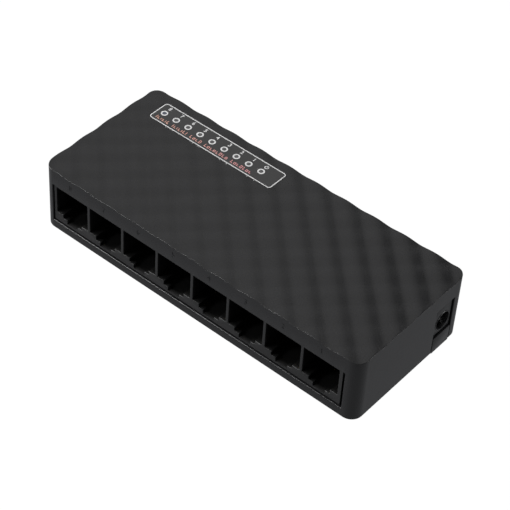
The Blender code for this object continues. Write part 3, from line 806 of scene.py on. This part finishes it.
def build_window(bm, spot):
    """Frosted window of the film, slightly crowned."""
    radius = LIGHT_HOLE - 0.01
    profile = [(radius, FILM_LOW - 0.25), (radius, FILM_HIGH - 0.01), (radius - 0.1, FILM_HIGH + 0.01),
               (radius - 0.4, FILM_HIGH + 0.02)]
    turned(bm, profile, (spot.x, spot.y, 0), sides=32)


def build_window_cuts(bm):
    for spot in LIGHT_SPOTS:
        prism(bm, circle((spot.x, spot.y), LIGHT_HOLE, 32), "Z", FILM_LOW - 1, FILM_HIGH + 1)


def make_print(white, colour, film, frosted, frosted_blue):
    film_piece = solid("label_film", build_film, film, smooth=0)
    film_piece.data = boolean(film_piece.data, "DIFFERENCE", build_window_cuts)
    for index, spot in enumerate(LIGHT_SPOTS):
        look = frosted if index else frosted_blue
        solid(f"light_window_{index + 1}", lambda bm: build_window(bm, spot), look)
    solid("print_frame", build_frame_line, white, smooth=0)
    solid("print_rings", build_light_rings, white, smooth=0)
    solid("print_power_mark", build_power_mark, white, smooth=0)
    solid("print_marks", build_marks, colour, smooth=0)
    digits = []
    flat, thickness = Matrix.Identity(4), INK_HIGH - INK_LOW
    for number, spot in zip(range(PORTS, 0, -1), LIGHT_SPOTS):
        place = (spot.x + 0.1, spot.y + 2.6, (INK_LOW + INK_HIGH) / 2)
        digits.append(glyph_mesh(str(number), 1.4, place, flat, thickness, "digit", 0.035))
    add_mesh("print_numbers", joined(digits, "print_numbers"), white, smooth=0)


# ---------------------------------------------------------------- jacks

PORT_HALF, LEDGE_INNER, SLOT_INNER = 6.5, 3.95, 2.2
LATCH_FLOOR, STOP_TOP, LEDGE_TOP, SEAT_TOP, CAVITY_TOP = 4.6, 5.65, 7.1, 16.65, 17.0
STOP_DEPTH, SEAT_DEPTH, CAVITY_DEPTH = 1.6, 4.3, 12.8
MOUTH_FLOOR, LEAD_IN_TOP, LEAD_IN_DEPTH = 4.2, 17.3, 0.7
NOSE_BACK = -22.75
MOUTH_ROUND = 0.18
WIRES, WIRE_PITCH = 8, 1.02


def mouth_outline(x, grow):
    """Stepped mouth of one port: wide above, two steps down each side to the latch's slot."""
    half, inner, slot = PORT_HALF + grow, LEDGE_INNER + grow, SLOT_INNER + grow
    floor, stop, ledge = LATCH_FLOOR - grow, STOP_TOP - grow, LEDGE_TOP - grow
    side = [(half, ledge), (inner, ledge), (inner, stop), (slot, stop), (slot, floor)]
    left = [(x - u, z) for u, z in side]
    right = [(x + u, z) for u, z in reversed(side)]
    return left + right + [(x + half, SEAT_TOP + grow), (x - half, SEAT_TOP + grow)]


def build_mouths(bm):
    face = BLOCK_LOW.y
    for x in PORT_X:
        loops = [(mouth_outline(x, MOUTH_ROUND), face - 1)]
        for turn in (math.radians(angle) for angle in (0, 30, 60, 90)):
            loops.append((mouth_outline(x, MOUTH_ROUND * (1 - math.sin(turn))),
                          face + MOUTH_ROUND * (1 - math.cos(turn))))
        loops.append((mouth_outline(x, 0), face + CAVITY_DEPTH))
        loft(bm, loops, "Y")


def build_pockets(bm):
    """Room behind the stops for the latch, and above the combs' seats."""
    face = BLOCK_LOW.y
    back = face + CAVITY_DEPTH
    for x in PORT_X:
        block(bm, (x - LEDGE_INNER, face + STOP_DEPTH, LATCH_FLOOR), (x + LEDGE_INNER, back, LEDGE_TOP + 1))
        block(bm, (x - PORT_HALF, face + SEAT_DEPTH, SEAT_TOP - 1), (x + PORT_HALF, back, CAVITY_TOP))


def build_block(bm):
    """The housing from its side: a deep box whose front hangs down before the board's edge."""
    low, edge = BOARD_HIGH.z + 0.3, 0.1
    side = [(BLOCK_LOW.y, BLOCK_LOW.z + edge), (BLOCK_LOW.y + edge, BLOCK_LOW.z), (NOSE_BACK, BLOCK_LOW.z),
            (NOSE_BACK, low), (BLOCK_HIGH.y, low), (BLOCK_HIGH.y, BLOCK_HIGH.z - edge),
            (BLOCK_HIGH.y - edge, BLOCK_HIGH.z), (BLOCK_LOW.y + edge, BLOCK_HIGH.z),
            (BLOCK_LOW.y, BLOCK_HIGH.z - edge)]
    prism(bm, side, "X", BLOCK_LOW.x, BLOCK_HIGH.x)


def build_mouth_slopes(bm):
    """A lead-in over each mouth, and the dip in its floor that lets the latch in."""
    face = BLOCK_LOW.y
    upper = [(face - 1, LEAD_IN_TOP), (face, LEAD_IN_TOP),
             (face + LEAD_IN_DEPTH, SEAT_TOP - 0.1), (face - 1, SEAT_TOP - 0.1)]
    lower = [(face - 1, MOUTH_FLOOR), (face, MOUTH_FLOOR),
             (face + STOP_DEPTH, LATCH_FLOOR + 0.1), (face - 1, LATCH_FLOOR + 0.1)]
    for x in PORT_X:
        prism(bm, upper, "X", x - PORT_HALF, x + PORT_HALF)
        prism(bm, lower, "X", x - SLOT_INNER, x + SLOT_INNER)


def build_guides(bm):
    """Ribs at the back of each cavity that keep the sprung wires apart."""
    back = BLOCK_LOW.y + CAVITY_DEPTH
    for x in PORT_X:
        for index in range(WIRES + 1):
            u = x + (index - WIRES / 2) * WIRE_PITCH
            block(bm, (u - 0.13, back - 2.3, 12.85), (u + 0.13, back + 0.1, CAVITY_TOP + 0.1))


def make_jack_block(look):
    mesh = applied(scratch_object(build_block))
    mesh = boolean(mesh, "DIFFERENCE", build_mouths)
    mesh = boolean(mesh, "DIFFERENCE", build_mouth_slopes)
    mesh = boolean(mesh, "DIFFERENCE", build_pockets)
    add_mesh("shaped_rj45_housing", mesh, look, ROOT, ("rj45_housing",))
    solid("contact_guides", build_guides, look, bevel=0.04, segments=1)


BARREL, BARREL_DEPTH, RIM = 3.05, 9.5, 3.5
JACK_AXIS_Z, JACK_FOOT_X = 10.8, 60.35


def build_jack_rim(bm):
    face = JACK_HIGH.x - 0.15
    profile = [(RIM, face - 1), (RIM, face + 0.05), (RIM - 0.1, face + 0.15), (RIM - 0.3, face + 0.15)]
    turned(bm, profile, ((JACK_LOW.y + JACK_HIGH.y) / 2, JACK_AXIS_Z, 0), "X", 48)


def build_jack_bore(bm):
    face = JACK_HIGH.x
    profile = [(BARREL, face - BARREL_DEPTH), (BARREL, face - 0.2), (BARREL + 0.06, face - 0.06),
               (BARREL + 0.2, face), (BARREL + 0.2, face + 1)]
    turned(bm, profile, ((JACK_LOW.y + JACK_HIGH.y) / 2, JACK_AXIS_Z, 0), "X", 48)


def build_jack_case(bm):
    """Square moulding whose face fills the outlet and whose foot steps back behind the base's tab."""
    face, step = JACK_HIGH.x - 0.15, TAB_TOP + 0.3
    side = [(JACK_LOW.x, JACK_LOW.z), (JACK_FOOT_X, JACK_LOW.z), (JACK_FOOT_X, step), (face, step),
            (face, JACK_HIGH.z), (JACK_LOW.x, JACK_HIGH.z)]
    prism(bm, side, "Y", JACK_LOW.y, JACK_HIGH.y)


def build_leaf_slot(bm):
    low, high = box_mm("dc_jack_leaf")
    block(bm, (low.x - 0.6, low.y - 0.3, low.z - 0.75),
          (JACK_HIGH.x - 1.35, high.y + 0.3, JACK_AXIS_Z - 1.5))


def make_power_jack(look):
    tool = scratch_object(build_jack_case)
    round_edges(tool, 0.3, 3)
    mesh = boolean(applied(tool), "UNION", build_jack_rim)
    mesh = boolean(mesh, "DIFFERENCE", build_jack_bore)
    mesh = boolean(mesh, "DIFFERENCE", build_leaf_slot)
    add_mesh("shaped_dc_jack_body", mesh, look, ROOT, ("dc_jack_body",))


# ---------------------------------------------------------------- the pieces

def build_light(bm, spot, low):
    """Lens with a flange and a dome, on two long legs."""
    top, radius = spot.z * 2 - low, 1.5
    dome = [(radius * math.cos(math.radians(a)), top - radius + radius * math.sin(math.radians(a)))
            for a in (0, 15, 30, 45, 60, 75, 87)]
    profile = [(1.85, 17.6), (1.85, 18.4), (radius, 18.45)] + dome
    turned(bm, profile, (spot.x, spot.y, 0), sides=32)


def make_lights(clear, tinted, wire):
    for name, spot in zip(LIGHTS, LIGHT_SPOTS):
        low = box_mm(name)[0].z
        look = tinted if name == f"led_port_{PORTS}" else clear
        solid("shaped_" + name, lambda bm: build_light(bm, spot, low), look,
              stands_for=(name,))

        def legs(bm):
            for side in (-1, 1):
                x = spot.x + side * 1.27
                block(bm, (x - 0.25, spot.y - 0.25, low - 0.3), (x + 0.25, spot.y + 0.25, 17.7))
        solid(name + "_legs", legs, wire, bevel=0.06)


def make_contacts(gold):
    """Eight sprung wires for each port, hooked over at the fold."""
    for number in range(1, PORTS + 1):
        node, body = f"port_contacts_{number}", f"port_{number}_contacts"
        pivot = PIVOTS[body]

        def wires(bm):
            for index in range(WIRES):
                offset = (index - (WIRES - 1) / 2) * WIRE_PITCH
                path = arc((pivot.y, pivot.z), 0.3, 250, 90, 6)
                path += [(pivot.y + 6.56, pivot.z - 2.85), (pivot.y + 7.4, pivot.z - 2.75),
                         (pivot.y + 8.15, pivot.z - 2.35)]
                ribbon(bm, path, pivot.x + offset, 0.46, 0.28)
        solid("shaped_" + node, wires, gold, body, (node,), smooth=40)


def ribbon(bm, path, x, width, thick):
    """A rounded strip of wire that follows a path in the Y-Z plane."""
    section = rounded_rectangle(-width / 2, width / 2, -thick / 2, thick / 2, 0.12, 3)
    rings = []
    for i, (y, z) in enumerate(path):
        before, after = path[max(i - 1, 0)], path[min(i + 1, len(path) - 1)]
        along = Vector((after[0] - before[0], after[1] - before[1])).normalized()
        across = Vector((-along.y, along.x))
        rings.append([bm.verts.new((x + u, y + across.x * v, z + across.y * v)) for u, v in section])
    for lower, upper in zip(rings, rings[1:]):
        for i in range(len(section)):
            j = (i + 1) % len(section)
            bm.faces.new((lower[i], lower[j], upper[j], upper[i]))
    bm.faces.new(rings[0])
    bm.faces.new(rings[-1])


# ---------------------------------------------------------------- the board's small parts

# The underside of what is soldered to the board, and the half length, half width, height and
# end-cap length of its small capacitors
FOOT = BOARD_HIGH.z + 0.02
CHIP_CAPACITORS = ((-12.0, 12.0), (-12.0, 15.0), (-9.5, 5.2), (-6.5, 2.6), (-2.0, 2.4), (2.5, 2.4),
                   (9.6, 4.6), (11.5, 8.0), (11.5, 11.0), (11.5, 14.0), (36.0, 9.6), (30.2, 13.2),
                   (17.0, 7.2), (17.0, 12.0), (-22.0, 7.6), (-22.0, 9.8))
CHIP_HALF, CHIP_WIDE, CHIP_TALL, CHIP_END = 1.0, 0.62, 0.85, 0.32


def bent_lead(bm, side, outward, along, middle, width, reach=1.1, drop=0.75):
    """A flat lead: out of the part's side, down, and along the board as a foot."""
    path = [(-0.1, drop + 0.08), (0.32, drop + 0.08), (0.52, 0.15), (reach, 0.15), (reach, 0),
            (0.42, 0), (0.24, drop - 0.07), (-0.1, drop - 0.07)]
    points = [(side + outward * out, FOOT + up) for out, up in path]
    prism(bm, points, along, middle - width / 2, middle + width / 2)


def row_of_leads(bm, node, count, pitch, width, sides="XY", reach=1.1, drop=0.75):
    """Leads along two or four sides of a moulded part."""
    low, high = box_mm(node)
    centre = (low + high) / 2
    for index in range(count):
        offset = (index - (count - 1) / 2) * pitch
        if "Y" in sides:
            bent_lead(bm, low.y, -1, "X", centre.x + offset, width, reach, drop)
            bent_lead(bm, high.y, 1, "X", centre.x + offset, width, reach, drop)
        if "X" in sides:
            bent_lead(bm, low.x, -1, "Y", centre.y + offset, width, reach, drop)
            bent_lead(bm, high.x, 1, "Y", centre.y + offset, width, reach, drop)


def build_leads(bm):
    row_of_leads(bm, "switch_chip", 16, 0.8, 0.34)
    row_of_leads(bm, "regulator", 4, 1.1, 0.42, "Y", 1.2)
    row_of_leads(bm, "input_diode", 1, 1.0, 1.5, "X", 1.0, 0.9)
    row_of_leads(bm, "inductor", 1, 1.0, 2.4, "X", 0.7, 0.6)
    for index in range(1, 5):
        row_of_leads(bm, f"transformer_{index}", 10, 1.27, 0.5, "Y", 1.3, 1.2)


def build_chip_bodies(bm):
    for x, y in CHIP_CAPACITORS:
        block(bm, (x - CHIP_HALF + CHIP_END, y - CHIP_WIDE + 0.02, FOOT + 0.02),
              (x + CHIP_HALF - CHIP_END, y + CHIP_WIDE - 0.02, FOOT + CHIP_TALL - 0.02))


def build_chip_ends(bm):
    for x, y in CHIP_CAPACITORS:
        for side in (-1, 1):
            edges = sorted((x + side * CHIP_HALF, x + side * (CHIP_HALF - CHIP_END)))
            block(bm, (edges[0], y - CHIP_WIDE, FOOT), (edges[1], y + CHIP_WIDE, FOOT + CHIP_TALL))


def build_can_tops(bm):
    """The bare metal discs that show inside the sleeve's rolled top, each with its scored cross."""
    for name in ("capacitor_input", "capacitor_output"):
        low, high = box_mm(name)
        centre = (low + high) / 2
        turned(bm, [(2.62, high.z - 0.05), (2.62, high.z + 0.04), (2.5, high.z + 0.08)],
               (centre.x, centre.y, 0), sides=32)


def build_can_scores(bm):
    for name in ("capacitor_input", "capacitor_output"):
        low, high = box_mm(name)
        x, y = ((low + high) / 2).xy
        far, near = 1.8, 0.09
        corner = [(far, near), (near, near), (near, far), (-near, far), (-near, near), (-far, near)]
        cross = corner + [(-u, -v) for u, v in corner]
        prism(bm, [(x + u, y + v) for u, v in cross], "Z", high.z + 0.03, high.z + 1)


def build_crystal_foot(bm):
    """The flange round the crystal's can."""
    low, high = box_mm("crystal")
    outline = rounded_rectangle(low.x - 0.35, high.x + 0.35, low.y - 0.35, high.y + 0.35, 2.5, 8)
    prism(bm, outline, "Z", low.z, low.z + 0.35)


def make_small_parts(tin, ceramic):
    solid("soldered_leads", build_leads, tin, bevel=0.03, segments=1)
    solid("chip_capacitor_bodies", build_chip_bodies, ceramic, bevel=0.05)
    solid("chip_capacitor_ends", build_chip_ends, tin, bevel=0.09)
    tops = solid("capacitor_tops", build_can_tops, tin)
    tops.data = boolean(tops.data, "DIFFERENCE", build_can_scores)
    solid("crystal_foot", build_crystal_foot, tin, bevel=0.08)


def main():
    make_camera()
    make_studio()
    case = moulded("case_plastic", (0.012, 0.012, 0.0128), 0.30)
    black = jack_plastic()
    film = moulded("label_film", (0.042, 0.042, 0.042), 0.36, 0.2, 0.003, 0.05)
    frosted = moulded("light_window", (0.10, 0.10, 0.10), 0.35, 0.15, 0.004)
    frosted_blue = moulded("light_window_blue", (0.10, 0.11, 0.14), 0.35, 0.15, 0.004)
    white = ink("ink_white", (0.90, 0.90, 0.90))
    gold = metal("contact_metal", (0.83, 0.60, 0.24), 0.22, (1, 0.1, 1))
    steel = metal("steel", (0.62, 0.61, 0.60), 0.28)
    chip = moulded("chip_resin", (0.020, 0.020, 0.021), 0.45, 0.2, 0.006)
    module = moulded("module_resin", (0.030, 0.030, 0.030), 0.42, 0.25, 0.006)
    ferrite = moulded("ferrite", (0.070, 0.066, 0.062), 0.55, 0.3, 0.02)
    sleeve = moulded("capacitor_sleeve", (0.015, 0.022, 0.070), 0.32, 0.4, 0.003)
    make_cover(case)
    make_print(white, marks_ink(), film, frosted, frosted_blue)
    refined("base", case, 0.15)
    make_jack_block(black)
    make_power_jack(case)
    refined("dc_jack_pin", steel, 0.08)
    refined("dc_jack_leaf", steel, 0.05, "power_leaf")
    make_lights(lens("light_lens", (0.42, 0.43, 0.44)), lens("light_lens_blue", (0.30, 0.34, 0.46)), steel)
    make_contacts(gold)
    refined("main_board", laminate(), 0.1)
    refined("switch_chip", chip, 0.1)
    refined("regulator", chip, 0.08)
    refined("input_diode", chip, 0.08)
    refined("inductor", ferrite, 0.1)
    refined("crystal", steel, 0.2)
    for name in ("capacitor_input", "capacitor_output"):
        refined(name, sleeve, 0.08)
    for index in range(1, 5):
        refined(f"transformer_{index}", module, 0.12)
    for index in (1, 2):
        refined(f"case_screw_{index}", steel, 0.06)
    tin = metal("solder_tin", (0.70, 0.70, 0.69), 0.34)
    make_small_parts(tin, moulded("chip_ceramic", (0.33, 0.24, 0.16), 0.5, 0.15, 0.003, 0.15))


main()
